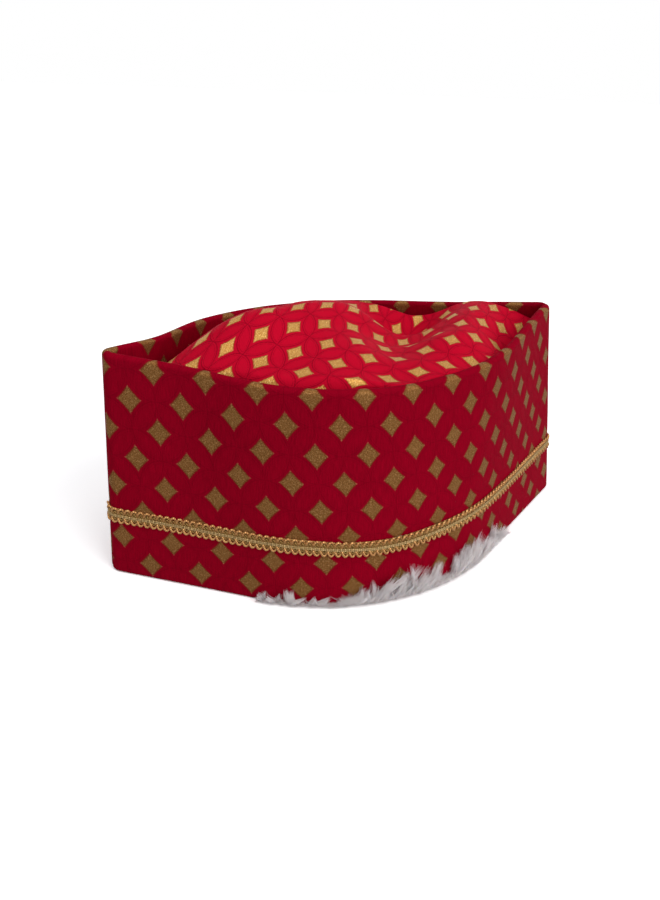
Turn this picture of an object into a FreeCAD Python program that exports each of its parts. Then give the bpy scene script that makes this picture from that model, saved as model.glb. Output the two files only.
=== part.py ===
"""Boat-shaped brocade cap: a stiff upstanding band that comes to a point at both ends, a soft domed crown
set down inside it, a gold gimp braid round the band and a white plush band inside the hem.

Frame: millimetres, +Z up, the hem lies in the plane Z = 0, the front point looks along -X, the rear point
along +X, and the two side walls lie either side of the X axis. Every wall piece is a ring or half ring
between two boat-shaped outlines, one low and one high, because the walls lean inwards as they rise."""
import FreeCAD, Part
import math
import os

import Sketcher

Vector = FreeCAD.Vector

doc = FreeCAD.newDocument("boat_cap")

# ---------------------------------------------------------------- driving dimensions

SIZES = (
    # the outer face of the band at the hem
    ("hem_length", 260.0),
    ("hem_width", 138.6),
    ("front_angle", 37.5),  # degrees between the front walls and the long axis
    ("rear_angle", 31.5),
    ("tip_radius", 6.5),
    # how the band leans inwards as it rises, in degrees
    ("wall_lean", 3.85),
    ("front_ridge_lean", 1.8),
    ("rear_ridge_lean", 11.0),
    # the rim is one shallow arc over the length of the cap
    ("front_rim_height", 111.0),
    ("side_rim_height", 105.5),
    ("rear_rim_height", 118.0),
    ("rim_low_place", -27.0),
    ("rim_trim", 8.0),  # the walls are drawn this much too high and then cut off along the rim
    # layers of the band
    ("cover_thickness", 0.9),
    ("stiffener_thickness", 1.2),
    ("lining_thickness", 0.8),
    ("lining_clearance", 0.5),
    ("layer_gap", 0.1),
    ("hem_turn_height", 13.0),
    ("crown_seam_height", 80.0),
    ("seam_gap", 0.3),
    ("seam_allowance", 5.0),
    # tapes inside the band
    ("tape_thickness", 0.6),
    ("tape_width", 12.0),
    ("tip_tape_reach", 11.0),
    # plush band inside the hem
    ("plush_start_height", 2.0),
    ("plush_height", 34.0),
    ("plush_backing_thickness", 1.0),
    ("plush_pile_thickness", 3.5),
    ("plush_bare_edge", 6.0),
    ("plush_tip_radius", 9.0),
    # gimp braid round the outside
    ("braid_height", 32.0),
    ("braid_width", 9.0),
    ("braid_ground_width", 5.0),
    ("braid_ground_thickness", 0.8),
    ("braid_cord_diameter", 1.1),
    ("braid_cord_spacing", 1.4),
    ("braid_loop_thickness", 1.3),
    ("braid_gap", 0.15),
    ("braid_join_length", 9.0),
    # crown: three layers of cloth over the same humps and dents
    ("crown_level", 107.0),
    ("crown_shoulder", 12.0),
    ("crown_left_shoulder", 9.0),  # the left side and the rear bulge up to the rim and roll down more steeply
    ("crown_rear_shoulder", 9.0),
    ("crown_wall_gap", 0.4),
    ("crown_tip_radius", 2.8),
    ("crown_trim", 20.0),  # how far below the seam the crown's edge is trimmed
    ("shell_thickness", 1.8),
    ("interlining_thickness", 2.2),
    ("crown_lining_thickness", 1.2),
    ("crown_layer_gap", 0.3),
    # thread
    ("stitch_length", 3.2),
    ("stitch_thickness", 0.45),
    ("stitch_pitch", 5.5),
)

# Humps (+) and dents (-) of the crown: x, y, rise, spread along X, spread along Y.
CROWN_HUMPS = (
    (-81.0, 8.0, 30.0, 44.0, 26.0),
    (31.0, 1.0, 36.0, 57.0, 35.0),
    (15.0, -8.0, -26.0, 31.0, 16.0),
    (32.0, 17.0, -36.0, 30.0, 21.0),
    (51.0, -36.0, 7.0, 21.0, 30.0),
    (-104.0, 37.0, -52.0, 43.0, 48.0),
    (2.0, -27.0, -8.0, 15.0, 13.0),
    (76.0, -32.0, -26.0, 47.0, 38.0),
    (-10.0, -52.0, -3.0, 15.0, 13.0),
)

# Heights of the crown are worked out on a grid of this many places along X and along Y.
CROWN_GRID = (97, 55)
# Outside the seam the crown's slope is carried on down for this share of its shoulder.
SLOPE_BELOW_SEAM = 0.4

sheet = doc.addObject("Spreadsheet::Sheet", "Sizes")
for row, (alias, value) in enumerate(SIZES, start=1):
    sheet.set(f"A{row}", alias)
    sheet.set(f"B{row}", str(value))
    sheet.setAlias(f"B{row}", alias)
doc.recompute()


def size(alias):
    """A driving dimension, read back from the sheet."""
    return float(getattr(sheet, alias))


# ---------------------------------------------------------------- the boat-shaped outline
# Seen from above, an outline is a tight arc at each point, a straight run off each side of it, and one wide
# arc along each side. z is its height, inset its distance inside the outer face, tip its radius at the
# points.

LENGTH_RATIO = "(1 / sin(Sizes.front_angle * 1 deg) + 1 / sin(Sizes.rear_angle * 1 deg) - 2)"
WIDTH_RATIO = "(1 / tan(Sizes.front_angle * 1 deg) + 1 / tan(Sizes.rear_angle * 1 deg))"
ARC_RATIO = "(tan(Sizes.front_angle * 0.5 deg) + tan(Sizes.rear_angle * 0.5 deg))"


def lean_of(angle, z):
    return f"({z}) * tan(Sizes.{angle} * 1 deg)"


def outline_formulas(z, inset, tip):
    """The four sizes of an outline as expressions: centres of the two tip arcs, tip radius, side radius."""
    smaller = f"(({tip}) - (Sizes.tip_radius - ({inset})))"
    centre = "Sizes.hem_length / 2 - Sizes.tip_radius"
    front = f"{centre} - {lean_of('front_ridge_lean', z)} - {smaller} / sin(Sizes.front_angle * 1 deg)"
    rear = f"{centre} - {lean_of('rear_ridge_lean', z)} - {smaller} / sin(Sizes.rear_angle * 1 deg)"
    length = f"(Sizes.hem_length - {lean_of('front_ridge_lean', z)} - {lean_of('rear_ridge_lean', z)})"
    half_width = f"(Sizes.hem_width / 2 - {lean_of('wall_lean', z)})"
    sharp_length = f"({length} + Sizes.tip_radius * {LENGTH_RATIO})"
    side = f"({sharp_length} - {half_width} * {WIDTH_RATIO}) / {ARC_RATIO} - ({inset})"
    return {"front_centre": front, "rear_centre": rear, "tip_radius": tip, "side_radius": side}


def number(expression):
    """The value of an expression over the sheet, for the first drawing of a sketch."""
    return float(sheet.evalExpression(expression.replace("Sizes.", "")))


def outline_numbers(z, inset, tip):
    return {name: number(text) for name, text in outline_formulas(z, inset, tip).items()}


def side_centre(found, a, b):
    """The centre of the side arc: where both straight runs are tangent to it."""
    front, rear = -found["front_centre"], found["rear_centre"]
    gap = found["side_radius"] - found["tip_radius"]
    # the side arc's centre lies off each tip centre by gap along that run's normal plus a stretch of the run
    front_run = (math.cos(a), math.sin(a))
    rear_run = (-math.cos(b), math.sin(b))
    start = (front + gap * math.sin(a), -gap * math.cos(a))
    end = (rear - gap * math.sin(b), -gap * math.cos(b))
    cross = front_run[0] * rear_run[1] - front_run[1] * rear_run[0]
    apart = (end[0] - start[0], end[1] - start[1])
    along = (apart[0] * rear_run[1] - apart[1] * rear_run[0]) / cross
    return start[0] + along * front_run[0], start[1] + along * front_run[1]


def add_outline(body, name, z, inset, tip):
    """A fully constrained sketch of one outline, level, at height z."""
    sketch = body.newObject("Sketcher::SketchObject", name)
    plane = [f for f in body.Origin.OriginFeatures if f.Role == "XY_Plane"][0]
    sketch.AttachmentSupport = [(plane, "")]
    sketch.MapMode = "FlatFace"
    sketch.setExpression("AttachmentOffset.Base.z", z)
    found = outline_numbers(z, inset, tip)
    a, b = math.radians(size("front_angle")), math.radians(size("rear_angle"))
    up = Vector(0, 0, 1)
    quarter = math.pi / 2
    cx, cy = side_centre(found, a, b)

    def arc(x, y, radius, start, end):
        return Part.ArcOfCircle(Part.Circle(Vector(x, y, 0), up, radius), start, end)

    def on(x, y, radius, angle):
        return Vector(x + radius * math.cos(angle), y + radius * math.sin(angle), 0)

    front, rear, tight = -found["front_centre"], found["rear_centre"], found["tip_radius"]
    wide = found["side_radius"]
    sketch.addGeometry(
        [
            arc(front, 0, tight, quarter + a, 3 * quarter - a),
            Part.LineSegment(on(front, 0, tight, 3 * quarter - a), on(cx, -cy, wide, 3 * quarter - a)),
            arc(cx, -cy, wide, 3 * quarter - a, 3 * quarter + b),
            Part.LineSegment(on(cx, -cy, wide, 3 * quarter + b), on(rear, 0, tight, b - quarter)),
            arc(rear, 0, tight, b - quarter, quarter - b),
            Part.LineSegment(on(rear, 0, tight, quarter - b), on(cx, cy, wide, quarter - b)),
            arc(cx, cy, wide, quarter - b, quarter + a),
            Part.LineSegment(on(cx, cy, wide, quarter + a), on(front, 0, tight, quarter + a)),
        ],
        False,
    )
    start, end, middle = 1, 2, 3
    tip_front, near_front, near_side, near_rear, tip_rear, far_rear, far_side, far_front = range(8)
    joins = (
        (tip_front, end, near_front, start),
        (near_front, end, near_side, start),
        (near_side, end, near_rear, start),
        (near_rear, end, tip_rear, start),
        (tip_rear, end, far_rear, start),
        (far_rear, end, far_side, start),
        (far_side, end, far_front, start),
        (far_front, end, tip_front, start),
    )
    for join in joins:
        sketch.addConstraint(Sketcher.Constraint("Tangent", *join))
    x_axis = -1
    for tip_arc in (tip_front, tip_rear):
        sketch.addConstraint(Sketcher.Constraint("PointOnObject", tip_arc, middle, x_axis))
    sketch.addConstraint(Sketcher.Constraint("Equal", near_side, far_side))
    sketch.addConstraint(Sketcher.Constraint("Equal", tip_front, tip_rear))
    sketch.addConstraint(Sketcher.Constraint("Vertical", near_side, middle, far_side, middle))

    def bound(constraint, label, formula):
        index = sketch.addConstraint(constraint)
        sketch.renameConstraint(index, label)
        sketch.setExpression(f"Constraints.{label}", formula)

    formulas = outline_formulas(z, inset, tip)
    bound(
        Sketcher.Constraint("DistanceX", tip_front, middle, x_axis, start, found["front_centre"]),
        "front_centre",
        formulas["front_centre"],
    )
    bound(
        Sketcher.Constraint("DistanceX", x_axis, start, tip_rear, middle, found["rear_centre"]),
        "rear_centre",
        formulas["rear_centre"],
    )
    bound(Sketcher.Constraint("Radius", tip_front, tight), "tip_radius", formulas["tip_radius"])
    bound(Sketcher.Constraint("Radius", near_side, wide), "side_radius", formulas["side_radius"])
    bound(
        Sketcher.Constraint("Angle", x_axis, start, far_rear, start, math.pi - b),
        "rear_angle",
        "180 deg - Sizes.rear_angle * 1 deg",
    )
    return sketch


# ---------------------------------------------------------------- solids between outlines


def boat_block(name, low, high, inset, tip):
    """A solid block bounded by the band's shape at the given inset, from height low to height high."""
    body = doc.addObject("PartDesign::Body", name)
    bottom = add_outline(body, name + "_low", low, inset, tip)
    top = add_outline(body, name + "_high", high, inset, tip)
    loft = body.newObject("PartDesign::AdditiveLoft", name + "_loft")
    loft.Profile = bottom
    loft.Sections = [top]
    loft.Ruled = True
    body.Tip = loft
    return body


def boat_ring(name, low, high, outside, inside):
    """A ring between two insets; outside and inside are (inset, tip radius) pairs."""
    body = boat_block(name, low, high, *outside)
    bottom = add_outline(body, name + "_bore_low", low, *inside)
    top = add_outline(body, name + "_bore_high", high, *inside)
    bore = body.newObject("PartDesign::SubtractiveLoft", name + "_bore")
    bore.Profile = bottom
    bore.Sections = [top]
    bore.Ruled = True
    body.Tip = bore
    return body


def boolean(kind, name, base, tool):
    made = doc.addObject(f"Part::{kind}", name)
    made.Base = base
    made.Tool = tool
    return made


def box(name, low, high):
    """A box between two corners, each given as three expressions."""
    made = doc.addObject("Part::Box", name)
    for axis, side, start, end in zip("xyz", ("Length", "Width", "Height"), low, high):
        made.setExpression(f"Placement.Base.{axis}", start)
        made.setExpression(side, f"({end}) - ({start})")
    return made


BLANK_TOP = "(Sizes.rear_rim_height + Sizes.rim_trim)"
FAR = "Sizes.hem_length"
BELOW, WELL_ABOVE = "-20", "(Sizes.rear_rim_height + 60)"


def under_rim(name, drop):
    """Everything below the rim's arc, lowered by drop."""
    body = doc.addObject("PartDesign::Body", name)
    sketch = body.newObject("Sketcher::SketchObject", name + "_profile")
    plane = [f for f in body.Origin.OriginFeatures if f.Role == "XZ_Plane"][0]
    sketch.AttachmentSupport = [(plane, "")]
    sketch.MapMode = "FlatFace"
    half = size("hem_length") / 2
    lowest = -5.0
    front = Vector(-half, size("front_rim_height") - number(drop), 0)
    middle = Vector(size("rim_low_place"), size("side_rim_height") - number(drop), 0)
    rear = Vector(half, size("rear_rim_height") - number(drop), 0)
    sketch.addGeometry(
        [
            Part.ArcOfCircle(front, middle, rear),
            Part.LineSegment(front, Vector(-half, lowest, 0)),
            Part.LineSegment(Vector(-half, lowest, 0), Vector(half, lowest, 0)),
            Part.LineSegment(Vector(half, lowest, 0), rear),
            Part.Point(middle),
        ],
        False,
    )
    sketch.toggleConstruction(4)
    arc, front_side, base, rear_side, low_point = range(5)
    start, end = 1, 2
    arc_front = start if (sketch.getPoint(arc, start) - front).Length < 1e-3 else end
    arc_rear = end if arc_front == start else start
    joins = (
        ("Coincident", arc, arc_front, front_side, start),
        ("Coincident", front_side, end, base, start),
        ("Coincident", base, end, rear_side, start),
        ("Coincident", rear_side, end, arc, arc_rear),
        ("PointOnObject", low_point, start, arc),
        ("Vertical", front_side),
        ("Vertical", rear_side),
        ("Horizontal", base),
    )
    for join in joins:
        sketch.addConstraint(Sketcher.Constraint(*join))
    origin = (-1, 1)

    def bound(label, kind, first, second, value, formula):
        index = sketch.addConstraint(Sketcher.Constraint(kind, *first, *second, value))
        sketch.renameConstraint(index, label)
        sketch.setExpression(f"Constraints.{label}", formula)

    bound("front_reach", "DistanceX", (base, start), origin, half, "Sizes.hem_length / 2")
    bound("rear_reach", "DistanceX", origin, (base, end), half, "Sizes.hem_length / 2")
    bound("base_drop", "DistanceY", (base, start), origin, -lowest, str(-lowest))
    bound("front_height", "DistanceY", origin, (arc, arc_front), front.y, f"Sizes.front_rim_height - {drop}")
    bound("rear_height", "DistanceY", origin, (arc, arc_rear), rear.y, f"Sizes.rear_rim_height - {drop}")
    bound("low_place", "DistanceX", (low_point, start), origin, -middle.x, "-Sizes.rim_low_place")
    bound("low_height", "DistanceY", origin, (low_point, start), middle.y, f"Sizes.side_rim_height - {drop}")
    pad = body.newObject("PartDesign::Pad", name + "_pad")
    pad.Profile = sketch
    pad.setExpression("Length", "2 * Sizes.hem_width")
    pad.Midplane = True
    body.Tip = pad
    return body


def sides(ring, stem):
    """The left and right halves of a ring, cut apart on the long axis at the two points."""
    halves = {}
    for side, low, high in (
        ("left", "-Sizes.hem_width", "0"),
        ("right", "0", "Sizes.hem_width"),
    ):
        half = box(f"{stem}_{side}_side", ("-" + FAR, low, BELOW), (FAR, high, WELL_ABOVE))
        halves[side] = boolean("Common", f"{stem}_{side}", ring, half)
    return halves


sub_parts = {}


def keep(label, made):
    made.Label = label
    sub_parts[label] = made
    return made


# ---------------------------------------------------------------- band
# Layers of the wall, as insets from the outer face, each face with its own radius at the points.

COVER_INSIDE = "Sizes.cover_thickness"
STIFFENER_OUTSIDE = f"({COVER_INSIDE} + Sizes.layer_gap)"
STIFFENER_INSIDE = f"({STIFFENER_OUTSIDE} + Sizes.stiffener_thickness)"
FACING_OUTSIDE = f"({STIFFENER_INSIDE} + Sizes.layer_gap)"
LINING_OUTSIDE = f"({FACING_OUTSIDE} + Sizes.layer_gap)"
LINING_INSIDE = f"({LINING_OUTSIDE} + Sizes.lining_thickness)"
WALL_INSIDE = f"({FACING_OUTSIDE} + Sizes.cover_thickness)"


def parallel(inset):
    """A face at this inset, whose points follow the outer face's."""
    return inset, f"(Sizes.tip_radius - ({inset}))"


slot_top = under_rim("slot_top", "(Sizes.cover_thickness + Sizes.layer_gap)")
stiffener_top = under_rim("stiffener_top", "(Sizes.cover_thickness + 3 * Sizes.layer_gap)")
rim = under_rim("rim_line", "0")

wall = boolean(
    "Common",
    "wall",
    boat_ring("wall_ring", "0", BLANK_TOP, parallel("0"), parallel(WALL_INSIDE)),
    rim,
)
slot_ring = boat_ring(
    "slot_ring", "Sizes.cover_thickness", BLANK_TOP, parallel(COVER_INSIDE), parallel(FACING_OUTSIDE)
)
slot = boolean("Common", "slot", slot_ring, slot_top)
window = boat_ring(
    "window",
    "Sizes.hem_turn_height",
    "Sizes.crown_seam_height",
    parallel(FACING_OUTSIDE),
    parallel(f"({WALL_INSIDE} + Sizes.lining_clearance)"),
)
cover = boolean("Cut", "cover", boolean("Cut", "cover_slotted", wall, slot), window)
for side, half in sides(cover, "cover_half").items():
    keep(f"band_cover_{side}", half)

stiffener = boolean(
    "Common",
    "stiffener",
    boat_ring(
        "stiffener_ring",
        "(Sizes.cover_thickness + Sizes.layer_gap)",
        BLANK_TOP,
        parallel(STIFFENER_OUTSIDE),
        parallel(STIFFENER_INSIDE),
    ),
    stiffener_top,
)
for side, half in sides(stiffener, "stiffener_half").items():
    keep(f"band_stiffener_{side}", half)

lining = boat_ring(
    "lining_ring",
    "(Sizes.hem_turn_height + Sizes.seam_gap)",
    "(Sizes.crown_seam_height - Sizes.seam_gap)",
    parallel(LINING_OUTSIDE),
    parallel(LINING_INSIDE),
)
for side, half in sides(lining, "lining_half").items():
    keep(f"band_lining_{side}", half)

# ---------------------------------------------------------------- tapes inside the band

TAPE_OUTSIDE = f"({WALL_INSIDE} + Sizes.layer_gap)"
TAPE_INSIDE = f"({TAPE_OUTSIDE} + Sizes.tape_thickness)"
CROWN_STACK = (
    "(Sizes.shell_thickness + Sizes.interlining_thickness + Sizes.crown_lining_thickness"
    " + 2 * Sizes.crown_layer_gap)"
)
SEAM_TAPE_TOP = f"(Sizes.crown_seam_height - {CROWN_STACK} - Sizes.seam_allowance)"
SEAM_TAPE_LOW = f"({SEAM_TAPE_TOP} - Sizes.tape_width)"

keep(
    "crown_seam_tape",
    boat_ring(
        "crown_seam_tape_ring",
        SEAM_TAPE_LOW,
        SEAM_TAPE_TOP,
        parallel(TAPE_OUTSIDE),
        parallel(TAPE_INSIDE),
    ),
)

TIP_TAPE_TOP = f"({SEAM_TAPE_LOW} - Sizes.seam_gap)"
tip_tapes = boat_ring(
    "tip_tape_ring",
    "Sizes.hem_turn_height",
    TIP_TAPE_TOP,
    parallel(TAPE_OUTSIDE),
    parallel(TAPE_INSIDE),
)
TIP_REACH = "(Sizes.hem_length / 2 - Sizes.tip_radius - Sizes.tip_tape_reach)"
FRONT_EDGE = f"({TIP_REACH} - {lean_of('front_ridge_lean', TIP_TAPE_TOP)})"
REAR_EDGE = f"({TIP_REACH} - {lean_of('rear_ridge_lean', TIP_TAPE_TOP)})"
front_end = box(
    "front_end",
    ("-" + FAR, "-Sizes.hem_width", BELOW),
    (f"-{FRONT_EDGE}", "Sizes.hem_width", WELL_ABOVE),
)
rear_end = box(
    "rear_end",
    (REAR_EDGE, "-Sizes.hem_width", BELOW),
    (FAR, "Sizes.hem_width", WELL_ABOVE),
)
keep("front_seam_tape", boolean("Common", "front_tape", tip_tapes, front_end))
keep("rear_seam_tape", boolean("Common", "rear_tape", tip_tapes, rear_end))

# ---------------------------------------------------------------- plush band inside the hem

PLUSH_TOP = "(Sizes.plush_start_height + Sizes.plush_height)"
BACKING_OUTSIDE = f"({TAPE_INSIDE} + Sizes.layer_gap)"
BACKING_INSIDE = f"({BACKING_OUTSIDE} + Sizes.plush_backing_thickness)"
PILE_OUTSIDE = f"({BACKING_INSIDE} + Sizes.layer_gap)"
PILE_INSIDE = f"({PILE_OUTSIDE} + Sizes.plush_pile_thickness)"


def plush_face(inset):
    """A face of the plush band, which cuts across the points on a wider curve."""
    return inset, f"(Sizes.plush_tip_radius - ({inset}) + {BACKING_OUTSIDE})"


keep(
    "plush_band_backing",
    boat_ring(
        "plush_backing_ring",
        "Sizes.plush_start_height",
        PLUSH_TOP,
        plush_face(BACKING_OUTSIDE),
        plush_face(BACKING_INSIDE),
    ),
)
keep(
    "plush_band_pile",
    boat_ring(
        "plush_pile_ring",
        "Sizes.plush_start_height",
        f"({PLUSH_TOP} - Sizes.plush_bare_edge)",
        plush_face(PILE_OUTSIDE),
        plush_face(PILE_INSIDE),
    ),
)

# ---------------------------------------------------------------- gimp braid round the outside


def braid_ring(label, low, high, gap, thickness):
    """A strip of the braid, standing out from the band by gap and then thickness."""
    front = parallel(f"(-({gap}) - ({thickness}))")
    back = parallel(f"(-({gap}))")
    return keep(label, boat_ring(label + "_ring", low, high, front, back))


GROUND_HALF = "Sizes.braid_ground_width / 2"
EDGE_HALF = "Sizes.braid_width / 2"
braid_ring(
    "braid_ground",
    f"Sizes.braid_height - {GROUND_HALF}",
    f"Sizes.braid_height + {GROUND_HALF}",
    "Sizes.braid_gap",
    "Sizes.braid_ground_thickness",
)
for label, direction in (("braid_cord_upper", "+"), ("braid_cord_lower", "-")):
    middle = f"Sizes.braid_height {direction} Sizes.braid_cord_spacing / 2"
    braid_ring(
        label,
        f"{middle} - Sizes.braid_cord_diameter / 2",
        f"{middle} + Sizes.braid_cord_diameter / 2",
        "Sizes.braid_gap + Sizes.braid_ground_thickness + Sizes.layer_gap",
        "Sizes.braid_cord_diameter",
    )
LOOP_START = f"{GROUND_HALF} + Sizes.layer_gap"
braid_ring(
    "braid_loops_upper",
    f"Sizes.braid_height + {LOOP_START}",
    f"Sizes.braid_height + {EDGE_HALF}",
    "Sizes.braid_gap",
    "Sizes.braid_loop_thickness",
)
braid_ring(
    "braid_loops_lower",
    f"Sizes.braid_height - {EDGE_HALF}",
    f"Sizes.braid_height - ({LOOP_START})",
    "Sizes.braid_gap",
    "Sizes.braid_loop_thickness",
)

BRAID_FRONT = (
    "(Sizes.braid_gap + Sizes.braid_ground_thickness + 2 * Sizes.layer_gap + Sizes.braid_cord_diameter)"
)
JOIN_START = (
    f"(Sizes.hem_length / 2 - {lean_of('rear_ridge_lean', 'Sizes.braid_height')}"
    " - 3 * Sizes.braid_join_length)"
)
keep(
    "braid_join_wrap",
    boolean(
        "Common",
        "braid_join",
        boat_ring(
            "braid_join_ring",
            f"Sizes.braid_height - {EDGE_HALF} - Sizes.layer_gap",
            f"Sizes.braid_height + {EDGE_HALF} + Sizes.layer_gap",
            parallel(f"(-{BRAID_FRONT} - Sizes.braid_ground_thickness)"),
            parallel(f"(-{BRAID_FRONT})"),
        ),
        box(
            "braid_join_place",
            (JOIN_START, "0", "0"),
            (f"{JOIN_START} + Sizes.braid_join_length", "Sizes.hem_width", "2 * Sizes.braid_height"),
        ),
    ),
)

# ---------------------------------------------------------------- thread
# Each row of stitches is one node of short, separate lengths of thread along an outline.


def outline_places(z, inset, tip, pitch):
    """Places and headings at an even pitch along an outline: (x, y, heading in degrees)."""
    found = outline_numbers(z, inset, tip)
    a, b = math.radians(size("front_angle")), math.radians(size("rear_angle"))
    cx, cy = side_centre(found, a, b)
    front, rear = -found["front_centre"], found["rear_centre"]
    tight, wide = found["tip_radius"], found["side_radius"]
    front_join = (front - tight * math.sin(a), tight * math.cos(a))
    rear_join = (rear + tight * math.sin(b), tight * math.cos(b))
    front_run = math.hypot(cx - wide * math.sin(a) - front_join[0], cy + wide * math.cos(a) - front_join[1])
    rear_run = math.hypot(cx + wide * math.sin(b) - rear_join[0], cy + wide * math.cos(b) - rear_join[1])
    side_run = wide * (a + b)
    whole = front_run + side_run + rear_run
    places = []
    for step in range(int(whole / pitch)):
        along = (step + 0.5) * pitch
        if along < front_run:
            x, y, heading = front_join[0] + along * math.cos(a), front_join[1] + along * math.sin(a), a
        elif along < front_run + side_run:
            heading = a - (along - front_run) / wide
            x, y = cx - wide * math.sin(heading), cy + wide * math.cos(heading)
        else:
            left = whole - along
            x, y, heading = rear_join[0] - left * math.cos(b), rear_join[1] + left * math.sin(b), -b
        places.append((x, y, math.degrees(heading)))
        places.append((x, -y, -math.degrees(heading)))
    return places


def stitch_row(label, z, inset, tip):
    """A row of stitches lying on the inner face at the given inset."""
    long, thick = size("stitch_length"), size("stitch_thickness")
    stitches = []
    seat = f"({inset}) + Sizes.layer_gap / 2 + Sizes.stitch_thickness / 2"
    for x, y, heading in outline_places(z, seat, f"({tip}) - Sizes.layer_gap", size("stitch_pitch")):
        thread = Part.makeBox(long, thick, thick, Vector(-long / 2, -thick / 2, -thick / 2))
        thread.rotate(Vector(0, 0, 0), Vector(0, 0, 1), heading)
        thread.translate(Vector(x, y, number(z)))
        stitches.append(thread)
    made = doc.addObject("Part::Feature", label + "_threads")
    made.Shape = Part.makeCompound(stitches)
    made.Placement = FreeCAD.Placement()
    return keep(label, made)


stitch_row("plush_band_stitches", f"({PLUSH_TOP} - Sizes.plush_bare_edge / 2)", *plush_face(BACKING_INSIDE))
stitch_row(
    "crown_seam_stitches",
    f"({SEAM_TAPE_TOP} - Sizes.tape_width / 2)",
    *parallel(TAPE_INSIDE),
)

# ---------------------------------------------------------------- crown
# The crown's cloth is a curved sheet over the whole inside of the band. Its edge lies at the crown seam, it
# rises steeply off the wall over the width of its shoulder, and humps and dents shape its middle.


def wall_distance(x, y, z):
    """How far inside the outer face of the band a place in plan is, at height z."""
    found = outline_numbers(str(z), "0", "Sizes.tip_radius")
    a, b = math.radians(size("front_angle")), math.radians(size("rear_angle"))
    cx, cy = side_centre(found, a, b)
    y = abs(y)
    front, rear = -found["front_centre"], found["rear_centre"]
    tight, wide = found["tip_radius"], found["side_radius"]
    to_front = (x - front) * math.sin(a) - y * math.cos(a) + tight
    to_rear = (rear - x) * math.sin(b) - y * math.cos(b) + tight
    to_side = wide - math.hypot(x - cx, y - cy)
    on_front_run = (x - cx) * math.cos(a) + (y - cy) * math.sin(a) < 0
    on_rear_run = -(x - cx) * math.cos(b) + (y - cy) * math.sin(b) < 0
    if on_front_run and x < cx:
        return to_front
    if on_rear_run and x > cx:
        return to_rear
    return to_side


def eased(start, end, value):
    """0 at start, 1 at end, and an even curve between them."""
    share = min(max((value - start) / (end - start), 0.0), 1.0)
    return share * share * (3 - 2 * share)


def shoulder_width(x, y):
    """How wide the crown's shoulder is beside a place in plan."""
    broad, length, width = size("crown_shoulder"), size("hem_length"), size("hem_width")
    left = eased(0.03 * width, -0.1 * width, y) * eased(-0.16 * length, -0.03 * length, x)
    rear = eased(0.23 * length, 0.37 * length, x) * (1 - left)
    return broad - left * (broad - size("crown_left_shoulder")) - rear * (broad - size("crown_rear_shoulder"))


def crown_height(x, y, seam):
    inside = wall_distance(x, y, seam) - number(WALL_INSIDE)
    rise = size("crown_level") - seam
    for place, across, lift, spread_x, spread_y in CROWN_HUMPS:
        rise += lift * math.exp(-(((x - place) / spread_x) ** 2) - ((y - across) / spread_y) ** 2)
    share = min(max(inside / shoulder_width(x, y), -SLOPE_BELOW_SEAM), 1.0)
    return seam + rise * math.sin(share * math.pi / 2)


def crown_sheet():
    """The crown's upper face, drawn through a grid of heights."""
    seam = size("crown_seam_height")
    columns, rows = CROWN_GRID
    half_length, half_width = size("hem_length") / 2, size("hem_width") / 2
    grid = []
    for column in range(columns):
        x = half_length * (2 * column / (columns - 1) - 1)
        line = []
        for row in range(rows):
            y = half_width * (2 * row / (rows - 1) - 1)
            line.append(Vector(x, y, crown_height(x, y, seam)))
        grid.append(line)
    surface = Part.BSplineSurface()
    surface.interpolate(grid)
    return surface.toShape()


sheet_face = crown_sheet()


def crown_layer(label, depth, thickness):
    """One layer of the crown: the sheet, sunk by depth, and thickened straight down."""
    slab = doc.addObject("Part::Feature", label + "_slab")
    slab.Shape = sheet_face.extrude(Vector(0, 0, -thickness))
    slab.Placement = FreeCAD.Placement(Vector(0, 0, -depth), FreeCAD.Rotation())
    inset = f"({WALL_INSIDE} + Sizes.crown_wall_gap)"
    inside = boat_block(
        label + "_inside",
        "Sizes.crown_seam_height - Sizes.crown_trim",
        WELL_ABOVE,
        inset,
        "Sizes.crown_tip_radius",
    )
    return keep(label, boolean("Common", label + "_cut", slab, inside))


depth = 0.0
for label, thickness in (
    ("crown_shell", size("shell_thickness")),
    ("crown_interlining", size("interlining_thickness")),
    ("crown_lining", size("crown_lining_thickness")),
):
    crown_layer(label, depth, thickness)
    depth += thickness + size("crown_layer_gap")

doc.recompute()

# ---------------------------------------------------------------- check and write

failed = [o.Name for o in doc.Objects if "Invalid" in o.State or "Error" in o.State]
if failed:
    raise RuntimeError("objects that did not build: " + ", ".join(failed))
for label, made in sub_parts.items():
    if made.Shape.isNull() or not made.Shape.isValid() or not made.Shape.Solids:
        raise RuntimeError("a sub-part has no valid solid: " + label)

os.makedirs("parts", exist_ok=True)
for label, made in sub_parts.items():
    made.Shape.exportStep(f"parts/{label}.step")
    print(f"{label:24s} solids {len(made.Shape.Solids):3d}  volume {made.Shape.Volume:10.1f}")
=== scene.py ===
"""Looks of the boat-shaped brocade cap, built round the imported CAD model.

The frame's units are metres; sizes below are millimetres and are turned into metres where a mesh is made.
The front point looks along -X, the hem lies at Z = 0, and "left" is the side at -Y."""
import math

import bpy
import numpy as np
from mathutils import Matrix, Vector, noise


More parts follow.
